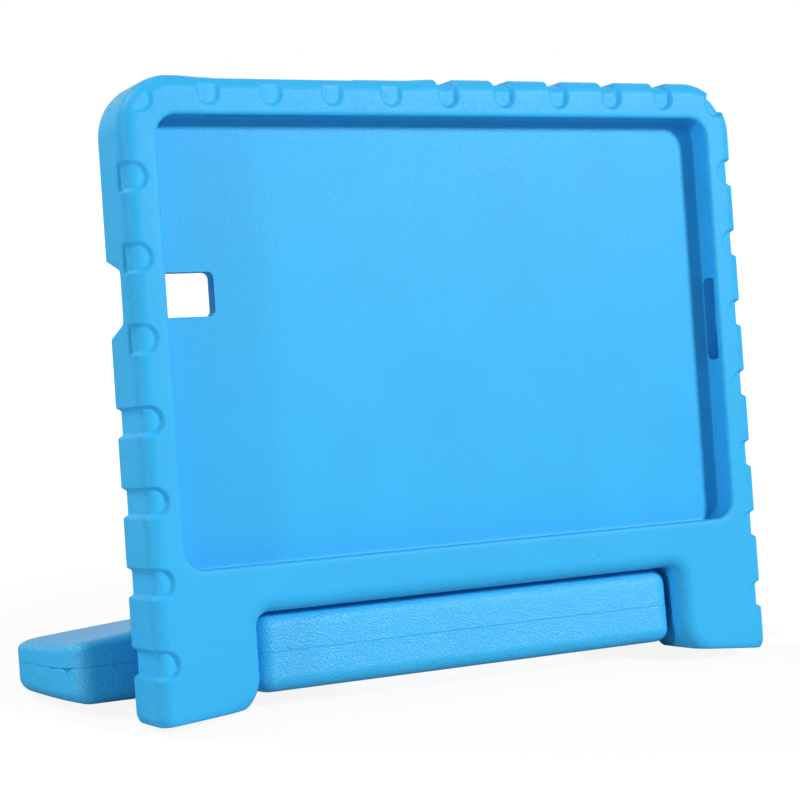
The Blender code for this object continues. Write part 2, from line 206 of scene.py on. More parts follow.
def outline(corners, spacing, fine_at=None):
    """Points and outward normals of a closed anticlockwise outline, whose corners (x, y, radius)
    become arcs. fine_at(points) says where straight runs keep every point."""
    points, normals = [], []
    count = len(corners)
    arcs = []
    for i, (x, y, radius) in enumerate(corners):
        here = np.array((x, y), float)
        last = np.array(corners[i - 1][:2], float) - here
        after = np.array(corners[(i + 1) % count][:2], float) - here
        last /= np.linalg.norm(last)
        after /= np.linalg.norm(after)
        inner = math.acos(float(np.clip(last @ after, -1, 1)))
        middle = (last + after) / np.linalg.norm(last + after)
        centre = here + middle * (radius / math.sin(inner / 2))
        reach = radius / math.tan(inner / 2)
        convex = last[0] * after[1] - last[1] * after[0] < 0
        turn = (math.pi - inner) * (1 if convex else -1)
        by_length = abs(turn) * (radius + 2) / spacing
        steps = max(2, math.ceil(max(by_length, abs(turn) / MOST_TURN)))
        start = here + last * reach - centre
        angles = turn * np.arange(steps + 1) / steps
        cos, sin = np.cos(angles), np.sin(angles)
        arc = np.column_stack((cos * start[0] - sin * start[1], sin * start[0] + cos * start[1]))
        arcs.append((centre + arc, arc / radius * (1 if convex else -1)))
    for i, (arc, arc_normals) in enumerate(arcs):
        points.append(arc)
        normals.append(arc_normals)
        a, b = arc[-1], arcs[(i + 1) % count][0][0]
        length = np.linalg.norm(b - a)
        steps = max(1, round(length / FINE))
        if steps < 2:
            continue
        line = a + (b - a) * (np.arange(1, steps) / steps)[:, None]
        number = np.arange(len(line))
        keep = number % max(1, round(COARSE / FINE)) == 0
        if fine_at is not None:
            keep |= fine_at(line)
        line = line[keep]
        points.append(line)
        across = np.array((b[1] - a[1], a[0] - b[0])) / length
        normals.append(np.repeat(across[None], len(line), 0))
    return np.concatenate(points), np.concatenate(normals)


def boxed(x0, x1, y0, y1, radius):
    return [(x0, y0, radius), (x1, y0, radius), (x1, y1, radius), (x0, y1, radius)]


def rectangle(half_x, half_y, radius, spacing=MEDIUM):
    return outline(boxed(-half_x, half_x, -half_y, half_y, radius), spacing)


def inside(points, loop):
    """Which points lie inside the closed loop."""
    result = np.zeros(len(points), bool)
    ends = np.roll(loop, -1, 0)
    for (x0, y0), (x1, y1) in zip(loop, ends):
        if y0 == y1:
            continue
        crosses = (points[:, 1] < y0) != (points[:, 1] < y1)
        at = x0 + (points[:, 1] - y0) * (x1 - x0) / (y1 - y0)
        result ^= crosses & (points[:, 0] < at)
    return result


def within(triangles, verts, edges, loops):
    """Which triangles lie inside the first loop and outside the others. Those that share an edge
    other than one of the loops' own get one answer, that of their largest."""
    group = list(range(len(triangles)))

    def root(k):
        while group[k] != k:
            group[k] = group[group[k]]
            k = group[k]
        return k

    walls = {(min(edge), max(edge)) for edge in edges}
    first = {}
    for number, triangle in enumerate(triangles.tolist()):
        for a, b in zip(triangle, triangle[1:] + triangle[:1]):
            edge = (min(a, b), max(a, b))
            if edge in walls:
                continue
            if edge in first:
                group[root(number)] = root(first[edge])
            else:
                first[edge] = number
    group = np.array([root(k) for k in range(len(triangles))])
    corners = verts[triangles]
    one, two = corners[:, 1] - corners[:, 0], corners[:, 2] - corners[:, 0]
    areas = np.abs(one[:, 0] * two[:, 1] - one[:, 1] * two[:, 0])
    keep = np.zeros(len(triangles), bool)
    for name in np.unique(group):
        members = np.flatnonzero(group == name)
        largest = members[np.argmax(areas[members])]
        if areas[largest] < 1e-3:
            continue
        middle = corners[largest].mean(0)[None]
        in_hole = any(inside(middle, loop)[0] for loop in loops[1:])
        keep[members] = inside(middle, loops[0])[0] and not in_hole
    return keep


def near(points, others, reach):
    """Which points lie within reach of any of the others, looked up 2000 at a time."""
    found = np.zeros(len(points), bool)
    for start in range(0, len(points), 2000):
        part = points[start:start + 2000]
        gap = ((part[:, None] - others[None]) ** 2).sum(2).min(1)
        found[start:start + 2000] = gap < reach * reach
    return found


class Skin:
    """The points and faces of one closed skin, gathered loop by loop."""

    def __init__(self):
        self.plan, self.depth, self.tilt, self.outer, self.faces = [], [], [], [], []
        self.count = 0

    def loop(self, plan, depth, normals=None, lean=0.0, outer=False):
        """normals are in plan; lean is how far they tip towards +depth, from -1 to 1. outer says
        that the channels cut this loop. Returns the points' numbers."""
        flat = np.zeros((len(plan), 2))
        if normals is not None:
            flat = normals * math.sqrt(max(0.0, 1 - lean * lean))
        self.plan.append(plan)
        self.depth.append(np.full(len(plan), float(depth)))
        self.tilt.append(np.column_stack((flat, np.full(len(plan), float(lean)))))
        self.outer.append(np.full(len(plan), outer))
        self.count += len(plan)
        return np.arange(self.count - len(plan), self.count)

    def bridge(self, a, b):
        self.faces.extend(np.column_stack((a, np.roll(a, -1), np.roll(b, -1), b)).tolist())

    def rows(self, points, normals, profile, outer=True):
        """One loop for each (inward, depth, lean) of the profile. Returns the first and last."""
        loops = []
        for inward, depth, lean in profile:
            loops.append(self.loop(points - normals * inward, depth, normals, lean, outer))
            if len(loops) > 1:
                self.bridge(loops[-2], loops[-1])
        return loops[0], loops[-1]

    def cap(self, rings, depth, lean, fine=(), spacing=COARSE, outer=True):
        """Fills between the first ring and the others with triangles. fine lists zones with
        their own spacing, as (low corner, high corner, spacing)."""
        plan = np.concatenate(self.plan)
        loops = [plan[ring] for ring in rings]
        low, high = loops[0].min(0), loops[0].max(0)
        inner = [grid(low, high, spacing)]
        for zone_low, zone_high, step in fine:
            inner.append(grid(np.array(zone_low), np.array(zone_high), step))
        if fine:
            covered = np.zeros(len(inner[0]), bool)
            for zone_low, zone_high, _ in fine:
                above = inner[0] > np.array(zone_low) - 0.5
                below = inner[0] < np.array(zone_high) + 0.5
                covered |= (above & below).all(1)
            inner[0] = inner[0][~covered]
        inner = np.concatenate(inner)
        # A point on a straight border edge would leave a crack, so none is kept that close
        for shift in ((1, 0), (-1, 0), (0, 1), (0, -1)):
            shift = np.array(shift) * CAP_MARGIN
            keep = inside(inner + shift, loops[0])
            for loop in loops[1:]:
                keep &= ~inside(inner + shift, loop)
            inner = inner[keep]
        border = np.concatenate(loops)
        inner = inner[~near(inner, border, CAP_CLEARANCE)]
        new = self.loop(inner, depth, None, lean, outer)
        ids = np.concatenate(rings + [new])
        verts = np.concatenate([border, inner])
        edges, first = [], 0
        for loop in loops:
            n = len(loop)
            edges.extend((first + k, first + (k + 1) % n) for k in range(n))
            first += n
        found = delaunay_2d_cdt([Vector(v) for v in verts.tolist()], edges, [], 0, 1e-7, True)
        origin = np.array([source[0] for source in found[3]])
        triangles = origin[np.array(found[2])]
        triangles = triangles[within(triangles, verts, edges, loops)]
        self.faces.extend(ids[triangles].tolist())

    def arrays(self):
        plan, depth = np.concatenate(self.plan), np.concatenate(self.depth)
        tilt, outer = np.concatenate(self.tilt), np.concatenate(self.outer)
        return plan, depth, tilt, outer


def grid(low, high, step):
    """A grid of points whose rows are shifted by half a step in turn."""
    rows = max(1, round((high[1] - low[1]) / (step * 0.87)))
    found = []
    for k in range(rows + 1):
        x = np.arange(low[0] + (k % 2) * step / 2, high[0], step)
        found.append(np.column_stack((x, np.full(len(x), low[1] + (high[1] - low[1]) * k / rows))))
    return np.concatenate(found)


def quarter(radius, depth, sense, steps, first=True):
    """Profile rows of a rounded edge, from the flat at depth to the wall. sense is -1 where
    the flat faces -depth."""
    angles = np.linspace(0, math.pi / 2, steps + 1)
    rows = [
        (radius * (1 - math.sin(a)), depth - sense * radius * (1 - math.cos(a)), sense * math.cos(a))
        for a in angles
    ]
    return rows if first else rows[::-1]


# Channels
# Each is (middle, direction, width, end): it runs outwards from a rounded end near the opening.
def side_channel(side, number):
    middle = np.array((0.0, TOP_Z - SIDE_CHANNEL_DROP - SIDE_CHANNEL_PITCH * number))
    return (middle, np.array((side, 0.0)), SIDE_CHANNEL_W, HALF_WIDTH - SIDE_CHANNEL_IN)


def top_channel(number):
    middle = np.array((TOP_CHANNEL_X + TOP_CHANNEL_PITCH * number, 0.0))
    return (middle, np.array((0.0, 1.0)), TOP_CHANNEL_W, TOP_CHANNEL_END)


def corner_channel(side):
    middle = np.array((side * (HALF_WIDTH - TOP_CORNER_R), TOP_Z - TOP_CORNER_R))
    along = np.array((side * math.cos(CORNER_CHANNEL_ANGLE), math.sin(CORNER_CHANNEL_ANGLE)))
    return (middle, along, CORNER_CHANNEL_W, CORNER_CHANNEL_END)


FLAT_CHANNELS = [side_channel(-1, n) for n in range(3)]
SHALLOW_CHANNELS = [top_channel(n) for n in range(4)] + [corner_channel(-1)]
ROUND_CHANNELS = (
    [side_channel(-1, n) for n in range(3, 7)] + [top_channel(n) for n in range(4, 9)]
    + [side_channel(1, n) for n in range(7)] + [corner_channel(1)]
)
CHANNELS = FLAT_CHANNELS + SHALLOW_CHANNELS + ROUND_CHANNELS


def channel_gap(plan, channel):
    """How far outside a channel's D-shaped outline each point is, negative inside."""
    middle, along, width, end = channel
    across = np.array((-along[1], along[0]))
    run = (plan - middle) @ along
    aside = np.abs((plan - middle) @ across)
    tip = end + width / 2
    return np.where(run > tip, aside, np.hypot(run - tip, aside)) - width / 2


def pitted(points, normals):
    """Sinks the small pits into the surface. Returns the points and how much painted shade each one
    gets in its pit.
    """
    hollow_shades = np.zeros(len(points))
    for place, radius, depth, darkness in PITS:
        gap = np.linalg.norm(points - np.array(place), axis=1)
        points = points - normals * (depth * smooth(1.0 - gap / radius))[:, None]
        hollow_shades = np.maximum(hollow_shades, darkness * smooth(1.3 - gap / radius))
    return points, hollow_shades


def nick_depth(d, t):
    """How deep the triangular nicks are at d along the seam and t above it."""
    found = np.zeros(len(d))
    for first, tip, last, drop, depth in NICKS:
        share = np.clip(-t / drop, 0.0, 1.0)
        left = d - (first + (tip - first) * share)
        right = last + (tip - last) * share - d
        gap = np.minimum(np.minimum(left, right) * 0.6, t + drop)
        found += depth * smooth(gap / 0.45 + 0.3) * (t < 0.2)
    return found


def channel_mask(plan, channels):
    """How far down a channel's wall each point is, from 0 outside to 1 on its floor."""
    mask = np.zeros(len(plan))
    wall = CHANNEL_WALL_OUT + CHANNEL_WALL_IN
    for channel in channels:
        gap = channel_gap(plan, channel)
        mask = np.maximum(mask, smooth((CHANNEL_WALL_OUT - gap) / wall))
    return mask


def near_channels(plan):
    found = np.zeros(len(plan), bool)
    for channel in CHANNELS:
        gap = channel_gap(plan, channel)
        found |= (gap < 1.6) & (gap > -2.2)
    return found


def end_zones(channels, step):
    """Squares round the rounded ends of the channels, for a cap's fine zones."""
    found = []
    for middle, along, width, end in channels:
        centre = middle + along * (end + width / 2)
        half = width / 2 + 2.0
        found.append((centre - half, centre + half, step))
    return found


# Case
def case_corners():
    sole = SOLE_Z - SOLE_CUT
    low = sole + SOLE_RISE
    return [
        (-FOOT_INNER_X, CEILING_Z, CEILING_R),
        (FOOT_INNER_X, CEILING_Z, CEILING_R),
        (FOOT_INNER_X, low, FOOT_INNER_R),
        (HALF_WIDTH, sole, SOLE_CORNER_R),
        (HALF_WIDTH, TOP_Z, TOP_CORNER_R),
        (SAG_X[3], TOP_Z, SAG_R),
        (SAG_X[2], TOP_Z - SAG_DEPTH, SAG_R),
        (SAG_X[1], TOP_Z - SAG_DEPTH, SAG_R),
        (SAG_X[0], TOP_Z, SAG_R),
        (-HALF_WIDTH, TOP_Z, TOP_CORNER_R),
        (-HALF_WIDTH, sole, SOLE_CORNER_R),
        (-FOOT_INNER_X, low, FOOT_INNER_R),
    ]


def rounding(tilt):
    """1 on walls and rounded edges, falling to 0 on the flat faces."""
    return smooth((0.995 - np.abs(tilt[:, 2])) / 0.3)


def soft_positive(values, softness):
    """values where they are above 0 and nearly 0 below it, with a soft turn between."""
    return 0.5 * (values + np.sqrt(values * values + softness))


def case_skin():
    """Points, faces and attributes of the case: plan is (x, z), depth is y."""
    skin = Skin()
    points, normals = outline(case_corners(), OUTLINE_STEP, near_channels)
    profile = quarter(EDGE_R, FRONT_Y, -1, 12)
    profile += [(0.0, y, 0.0) for y in SIDE_ROWS_Y]
    profile += quarter(EDGE_R, BACK_Y, 1, 9, first=False)
    front, back = skin.rows(points, normals, profile)

    points, normals = rectangle(POCKET_HALF_X - LIP, POCKET_HALF_Z - LIP, POCKET_R - LIP)
    profile = [(-inward, y, lean) for inward, y, lean in quarter(LIP_ROUND, FRONT_Y, -1, 5)]
    profile += [(0.0, LIP_BACK_Y - 0.25, 0.0), (-0.25, LIP_BACK_Y, 0.0), (-LIP, LIP_BACK_Y, 0.0)]
    profile += [(-LIP, y, 0.0) for y in POCKET_ROWS_Y]
    profile += [(inward - LIP, POCKET_FLOOR_Y - rise, 0.0) for inward, rise in POCKET_FOOT]
    opening, floor_edge = skin.rows(points, normals, profile, outer=False)
    zones = end_zones(CHANNELS, FINE)
    for (x, _, z), radius, _, _ in PITS[2:4]:
        middle = np.array((x, z))
        zones.append((middle - radius - 0.5, middle + radius + 0.5, WEAR_STEP))
    skin.cap([front, opening], FRONT_Y, -1.0, fine=zones)
    skin.cap([floor_edge], POCKET_FLOOR_Y, -1.0, spacing=FLOOR_STEP, outer=False)

    points, normals = rectangle(RECESS_HALF_X, RECESS_HALF_Z, RECESS_R)
    profile = [(-inward, y, lean) for inward, y, lean in quarter(RECESS_ROUND, BACK_Y, 1, 5)]
    profile += [(0.0, y, 0.0) for y in RECESS_ROWS_Y]
    profile += [(inward, RECESS_FLOOR_Y + rise, 0.0) for inward, rise in RECESS_FOOT]
    rim, recess_edge = skin.rows(points, normals, profile, outer=False)
    skin.cap([back, rim], BACK_Y, 1.0, fine=end_zones(ROUND_CHANNELS, OUTLINE_STEP))
    skin.cap([recess_edge], RECESS_FLOOR_Y, 1.0, spacing=FLOOR_STEP, outer=False)

    plan, depth, tilt, outer = skin.arrays()
    points = np.column_stack((plan[:, 0], depth, plan[:, 1]))
    normals = np.column_stack((tilt[:, 0], tilt[:, 2], tilt[:, 1]))
    flat = channel_mask(plan, FLAT_CHANNELS) * outer
    flat *= smooth((FLAT_END_Y[1] - points[:, 1]) / (FLAT_END_Y[1] - FLAT_END_Y[0]))
    round_ = channel_mask(plan, ROUND_CHANNELS) * outer
    points -= normals * (FLAT_DEPTH * flat)[:, None]
    # The shallow ones are a plane behind the front, so they don't notch the outline
    shallow = channel_mask(plan, SHALLOW_CHANNELS) * outer
    fall = soft_positive(FRONT_Y + SHALLOW_DEPTH - points[:, 1], 0.01) * (points[:, 1] < 3.0)
    points[:, 1] += shallow * fall
    flat = np.maximum(flat, 0.7 * shallow * (fall > 0.1))
    points -= normals * (CHANNEL_DEPTH * round_)[:, None]
    points, hollow_shades = pitted(points, normals)

    # The soles slope, with a soft edge
    slope = SOLE_RISE / (HALF_WIDTH - FOOT_INNER_X)
    sole = SOLE_Z + slope * (HALF_WIDTH - np.abs(points[:, 0]))
    over = points[:, 2] - sole
    low = (over < 3.0) & (np.abs(points[:, 0]) > FOOT_INNER_X - 1.0)
    points[low, 2] = (sole + soft_positive(over, SOLE_SOFT ** 2))[low]
    # rim also brings more pale specks, a painted glint on the rounded edges.
    rim = outer * rounding(tilt)
    return points, skin.faces, [("dent", np.maximum(flat, round_)), ("rim", rim), ("hollow_shade", hollow_shades)]


def mesh_object(name, points, faces, attributes=()):
    mesh = bpy.data.meshes.new(name)
    mesh.from_pydata(to_world(points).tolist(), [], faces)
    for key, values in attributes:
        made = mesh.attributes.new(key, "FLOAT", "POINT")
        made.data.foreach_set("value", np.asarray(values, np.float32))
    work = bmesh.new()
    work.from_mesh(mesh)
    bmesh.ops.recalc_face_normals(work, faces=work.faces)
    work.to_mesh(mesh)
    work.free()
    made = bpy.data.objects.new(name, mesh)
    bpy.context.scene.collection.objects.link(made)
    return made


def loft(name, loops):
    """A closed cutter through loops of the same length, in the case's frame."""
    n = len(loops[0])
    points = np.concatenate(loops)
    faces = []
    for k in range(len(loops) - 1):
        a, b = k * n, (k + 1) * n
        faces.extend((a + i, a + (i + 1) % n, b + (i + 1) % n, b + i) for i in range(n))
    faces.append(tuple(range(n)))
    faces.append(tuple(range(len(points) - n, len(points))))
    return mesh_object(name, points, faces)


def window(name, corners, spread, axis):
    """A cutter with the rounded outline corners, along axis, where spread lists (depth, growth)."""
    points, normals = outline(corners, WINDOW_STEP)
    loops = []
    for depth, growth in spread:
        plan = points + normals * growth
        columns = [plan[:, 0], plan[:, 1]]
        columns.insert(axis, np.full(len(plan), depth))
        loops.append(np.column_stack(columns))
    return loft(name, loops)


def bores(name, radius, inner_x, outer_x, steps=48):
    """A pair of round cutters on the pivot's axis, one on each side."""
    turn = np.arange(steps) * 2 * math.pi / steps
    y, z = PIVOT_Y + radius * np.cos(turn), PIVOT_Z + radius * np.sin(turn)
    ring = np.column_stack((np.zeros(steps), y, z))
    ends = (("left", -outer_x, -inner_x), ("right", inner_x, outer_x))
    return [
        loft(f"{name}_{side}", [ring + np.array((x, 0.0, 0.0)) for x in (x0, x1)])
        for side, x0, x1 in ends
    ]


def flare(depth, towards, radius=1.2, steps=4):
    """(depth, growth) rows that round the mouth of a window whose surface is at depth."""
    rows = []
    for k in range(steps + 1):
        a = math.pi / 2 * k / steps
        rows.append((depth - towards * radius * (1 - math.sin(a)), radius * (1 - math.cos(a))))
    rows.append((depth + towards * 4.0, radius))
    return rows


def subtract(target, cutters):
    for cutter in cutters:
        step = target.modifiers.new("cut", "BOOLEAN")
        step.operation = "DIFFERENCE"
        step.solver = "EXACT"
        step.object = cutter
    graph = bpy.context.evaluated_depsgraph_get()
    mesh = bpy.data.meshes.new_from_object(target.evaluated_get(graph))
    target.modifiers.clear()
    target.data = mesh
    for cutter in cutters:
        bpy.data.objects.remove(cutter)


def finish_surface(obj):
    mesh = obj.data
    mesh.polygons.foreach_set("use_smooth", [True] * len(mesh.polygons))
    mesh.set_sharp_from_angle(angle=SHARP_ANGLE)


case = mesh_object("case_foam", *case_skin())

notch = [(y, z, NOTCH_R) for y, z in LENS_NOTCH]
notch_spread = [(-RECESS_HALF_X + NOTCH_REACH, 0.0)] + flare(-HALF_WIDTH, -1, NOTCH_MOUTH_R)
cutters = [
    window("lens_window", boxed(*LENS_WINDOW), [(2.0, 0.0), (20.0, 0.0)], 1),
    window("lens_notch", notch, notch_spread, 0),
    window("port", boxed(*PORT_WINDOW), [(118.0, 0.0)] + flare(HALF_WIDTH, 1), 0),
    window("button", boxed(*BUTTON_WINDOW), [(81.0, 0.0)] + flare(BUTTON_MOUTH_Z, 1), 2),
] + bores("bore", *FOOT_BORE)
subtract(case, cutters)
finish_surface(case)


# Handle
def upper_thickness(x):
    """The top falls away towards the wings."""
    run = (np.abs(x) - HUB_HALF_X) / WING_RUN
    return HUB_HALF_T - WING_SINK * np.clip(soft_positive(run, WING_SOFT) - 0.01, 0.0, None)


def lower_thickness(d):
    """The bottom tapers towards the rear."""
    run = np.clip((d - TAPER_D) / (REAR_D - TAPER_D), 0.0, None)
    share = np.clip(soft_positive(run, TAPER_SOFT) - 0.01, 0.0, None)
    return HUB_HALF_T + (REAR_HALF_T - HUB_HALF_T) * share


def handle_corners():
    half = [
        (HUB_HALF_X, HUB_FRONT_D, HUB_R),
        (HUB_HALF_X, SHOULDER_D, NECK_R),
        (SHOULDER_X, SHOULDER_D, SHOULDER_R),
        (WING_X, WING_D, WING_R),
        (REAR_X, REAR_D, REAR_R),
    ]
    return half + [(-x, d, radius) for x, d, radius in reversed(half)]


def near_marks(plan):
    """Where the handle's outline keeps every point, for the nicks and the pits."""
    nick = (plan[:, 0] < 60.0 - SHOULDER_X) & (plan[:, 1] > 30.0) & (plan[:, 1] < 48.0)
    pit = (np.abs(plan[:, 0] + 79.0) < 1.8) & (plan[:, 1] < 0.0)
    return nick | pit


def handle_skin():
    """Points, faces and attributes of the handle: plan is (x, d), depth is t."""
    skin = Skin()
    points, normals = outline(handle_corners(), OUTLINE_STEP, near_marks)
    profile = quarter(EDGE_R, HUB_HALF_T, 1, 11)
    profile += [(0.0, t, 0.0) for t in ABOVE_SEAM]
    profile += [(share * SEAM_DEPTH, t * 2 * SEAM_HALF_W, 0.0) for share, t in SEAM_ROWS]
    profile += [(0.0, -t, 0.0) for t in BELOW_SEAM]
    profile += quarter(EDGE_R, -HUB_HALF_T, -1, 11, first=False)
    top, bottom = skin.rows(points, normals, profile)

    points, normals = outline(boxed(-SLOT_HALF_X, SLOT_HALF_X, *SLOT_D, SLOT_R), OUTLINE_STEP)
    profile = quarter(EDGE_R, HUB_HALF_T, 1, 11)
    profile += [(0.0, t, 0.0) for t in (5.0, 0.0, -5.0)]
    profile += quarter(EDGE_R, -HUB_HALF_T, -1, 11, first=False)
    profile = [(-inward, t, lean) for inward, t, lean in profile]
    slot_top, slot_bottom = skin.rows(points, normals, profile)
    skin.cap([top, slot_top], HUB_HALF_T, 1.0, spacing=HANDLE_STEP)
    skin.cap([bottom, slot_bottom], -HUB_HALF_T, -1.0, spacing=HANDLE_STEP)

    plan, depth, tilt, _ = skin.arrays()
    on_wing = (plan[:, 0] < 60.0 - SHOULDER_X) & (np.abs(tilt[:, 2]) < 0.1)
    nick = nick_depth(plan[:, 1], depth) * on_wing
    plan = plan - tilt[:, :2] * nick[:, None]
    thickness = np.where(depth > 0.0, upper_thickness(plan[:, 0]), lower_thickness(plan[:, 1]))
    depth = depth * thickness / HUB_HALF_T
    bend = SEAM_RISE * smooth((plan[:, 1] - SEAM_RISE_D) / SEAM_RISE_RUN)
    depth = depth + bend * (1.0 - (depth / HUB_HALF_T) ** 2)
    c, s = math.cos(HANDLE_TILT), math.sin(HANDLE_TILT)
    turn = np.array(((1, 0, 0), (0, c, s), (0, -s, c)))
    points = np.column_stack((plan, depth)) @ turn.T + np.array((0.0, PIVOT_Y, PIVOT_Z))
    # rim, 0.35 even on the flat faces, also brings pale specks: a painted glint on the edges and a
    # painted sheen over the whole handle.
    rim = 0.35 + 0.65 * rounding(tilt)
    points, hollow_shades = pitted(points, tilt @ turn.T)
    # The nicks get painted shade as well, darkest where they are deepest.
    hollow_shades = np.maximum(hollow_shades, 0.75 * nick / NICKS[0][-1])
    return points, skin.faces, [("dent", 0.0 * rim), ("rim", rim), ("hollow_shade", hollow_shades)]


handle = mesh_object("handle_foam", *handle_skin())
subtract(handle, bores("hub_bore", *HUB_BORE))
finish_surface(handle)


# Materials, with the scales of their patterns per metre
CLOUD_SCALE = 24.0
SPECK_SCALE = 1500.0
PEBBLE_SCALE = 1900.0
GRAIN_SCALE = 1250.0
GLOSS_SCALE = 1100.0
PEBBLE_HEIGHT = 0.00022
FLAT_SPECKS = 0.06
HOLLOW_SHADE = 0.45


def srgb(*levels):
    return tuple(
        ((v / 255 + 0.055) / 1.055) ** 2.4 if v > 10 else v / 255 / 12.92 for v in levels
    ) + (1.0,)


class Nodes:
    def __init__(self, name):
        self.material = bpy.data.materials.new(name)
        self.material.use_nodes = True
        self.tree = self.material.node_tree
        self.shader = self.tree.nodes["Principled BSDF"]
        self.where = self.add("ShaderNodeTexCoord").outputs["Object"]

    def add(self, kind, inputs=(), **settings):
        node = self.tree.nodes.new(kind)
        for key, value in settings.items():
            setattr(node, key, value)
        for key, value in dict(inputs).items():
            if isinstance(value, bpy.types.NodeSocket):
                self.tree.links.new(value, node.inputs[key])
            else:
                node.inputs[key].default_value = value
        return node

    def noise(self, scale, detail=2.0, rough=0.5):
        inputs = {"Vector": self.where, "Scale": scale, "Detail": detail, "Roughness": rough}
        return self.add("ShaderNodeTexNoise", inputs).outputs["Fac"]

    def attribute(self, name):
        return self.add("ShaderNodeAttribute", attribute_name=name).outputs["Fac"]

    def bump(self, height, strength, distance):
        inputs = {"Height": height, "Strength": strength, "Distance": distance}
        self.link(self.add("ShaderNodeBump", inputs).outputs["Normal"], "Normal")

    def link(self, value, socket):
        self.tree.links.new(value, self.shader.inputs[socket])

    def maths(self, operation, a, b):
        return self.add("ShaderNodeMath", {0: a, 1: b}, operation=operation).outputs[0]

    def mix(self, share, a, b):
        node = self.add("ShaderNodeMix", data_type="RGBA")
        sockets = (node.inputs["Factor"], node.inputs[6], node.inputs[7])
        for socket, value in zip(sockets, (share, a, b)):
            if isinstance(value, bpy.types.NodeSocket):
                self.tree.links.new(value, socket)
            else:
                socket.default_value = value
        return node.outputs[2]

    def ramp(self, fac, stops):
        node = self.add("ShaderNodeValToRGB", {"Fac": fac})
        element = node.color_ramp.elements
        while len(element) < len(stops):
            element.new(0.5)
        for item, (place, colour) in zip(element, stops):
            item.position = place
            item.color = colour
        return node.outputs["Color"]


def foam(name, colour, grain, edge_glints, roughness, specular):
    """Pressed foam: a fine pebbled skin with a few pale specks and soft clouds of colour. More pale
    specks gather where rim is high, as a painted glint on the rounded edges."""
    n = Nodes(name)

    def shade(factor):
        return tuple(min(1.0, level * factor) for level in colour[:3]) + (1.0,)

    rim = n.attribute("rim")
    clouds = n.ramp(n.noise(CLOUD_SCALE, 3.0, 0.55), [(0.3, shade(0.97)), (0.7, shade(1.03))])
    floor = n.mix(n.maths("MULTIPLY", n.attribute("dent"), 0.6), clouds, shade(1.05))
    black, white = (0.0, 0.0, 0.0, 1.0), (1.0, 1.0, 1.0, 1.0)
    # Pale specks: a few everywhere by FLAT_SPECKS, which are real, and more with rim, which are a
    # painted glint and sheen.
    bright = n.ramp(n.noise(SPECK_SCALE, 2.0, 0.6), [(0.58, black), (0.78, white)])
    specks_and_glints = n.maths("ADD", n.maths("MULTIPLY", rim, edge_glints), FLAT_SPECKS)
    tone = n.mix(n.maths("MULTIPLY", bright, specks_and_glints), floor, srgb(150, 216, 255))
    # Painted shade darkens the pits and the nicks.
    tone = n.mix(n.maths("MULTIPLY", n.attribute("hollow_shade"), 0.7), tone, shade(HOLLOW_SHADE))
    n.link(tone, "Base Color")

    inputs = {"Vector": n.where, "Scale": PEBBLE_SCALE, "Smoothness": 0.5}
    pebble = n.add("ShaderNodeTexVoronoi", inputs, feature="SMOOTH_F1").outputs["Distance"]
    grit = n.maths("MULTIPLY", n.noise(GRAIN_SCALE, 3.0, 0.65), 0.9)
    strength = n.maths("ADD", n.maths("MULTIPLY", rim, 0.75), 0.25)
    n.bump(n.maths("SUBTRACT", grit, pebble), n.maths("MULTIPLY", strength, grain), PEBBLE_HEIGHT)

    low, high = ((roughness + change,) * 3 + (1.0,) for change in (-0.1, 0.08))
    rough = n.ramp(n.noise(GLOSS_SCALE, 2.0, 0.6), [(0.3, low), (0.7, high)])
    n.link(n.maths("SUBTRACT", rough, n.maths("MULTIPLY", rim, 0.07)), "Roughness")
    n.shader.inputs["Specular IOR Level"].default_value = specular
    return n.material


case_foam = foam("case foam", srgb(55, 182, 242), 0.6, 0.3, 0.44, 0.14)
handle_foam = foam("handle foam", srgb(54, 187, 246), 0.8, 0.45, 0.4, 0.36)

pin = Nodes("moulded dark plastic")
pin_stops = [(0.35, srgb(20, 96, 170)), (0.65, srgb(28, 108, 184))]
pin.link(pin.ramp(pin.noise(60.0, 3.0), pin_stops), "Base Color")
pin.bump(pin.noise(SPECK_SCALE), 0.2, 0.0001)
pin.shader.inputs["Roughness"].default_value = 0.42

for piece, material in ((case, case_foam), (handle, handle_foam)):
    piece.data.materials.clear()
    piece.data.materials.append(material)
for name in ("pivot_pin_left", "pivot_pin_right"):
    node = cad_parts[name]
    for slot in node.material_slots:
        slot.material = pin.material

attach(case, "case")
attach(handle, "handle")
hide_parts("case_shell")
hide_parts("handle")


# Stage: the floor glows to the camera, less near the object, where its shadow lies
AMBIENT = 0.12
BACKDROP = (0.45, 0.89, 0.05)
BACKDROP_SPREAD = (("From Min", 0.55), ("From Max", 0.9), ("To Min", 0.12), ("To Max", 1.0))
FLOOR_GREY = (0.55, 0.55, 0.55, 1.0)
FLOOR_MIRRORED = (0.3, 0.3, 0.3, 1.0)
FLOOR_GLOW = 1.18
GLOW_SPREAD = {"From Min": 0.2, "From Max": 0.6, "To Min": 0.76, "To Max": 1.0}
FLOOR_SIZE = 40


